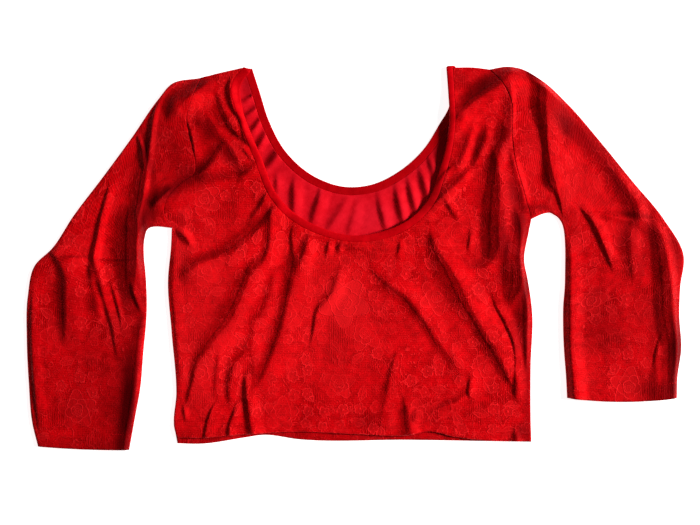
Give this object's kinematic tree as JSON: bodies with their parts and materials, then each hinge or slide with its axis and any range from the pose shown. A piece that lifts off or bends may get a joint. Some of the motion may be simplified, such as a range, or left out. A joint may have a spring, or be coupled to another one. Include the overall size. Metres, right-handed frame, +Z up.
{
  "type": "sari blouse",
  "caption": "Long-sleeved scoop-neck sari blouse in velvet, laid flat with its front up; front, back, two tubular sleeves and a neck binding.",
  "frame": {"origin": "middle of the bounding box, on the surface that the blouse lies on", "axes": "+X along the width from the left sleeve to the right one as seen from above, +Y towards the shoulders, +Z up from the surface"},
  "size_m": [0.6698, 0.3914, 0.0151],
  "materials": {
    "velvet": "embossed stretch velvet with a soft pile sheen",
    "inside_knit": "smooth knit wrong side of the velvet",
    "binding": "folded strip of the velvet, top-stitched"
  },
  "bodies": {
    "root": {"front": "velvet", "back": "inside_knit", "sleeve_left": "velvet", "sleeve_right": "velvet", "neck_binding": "binding"}
  },
  "joints": []
}
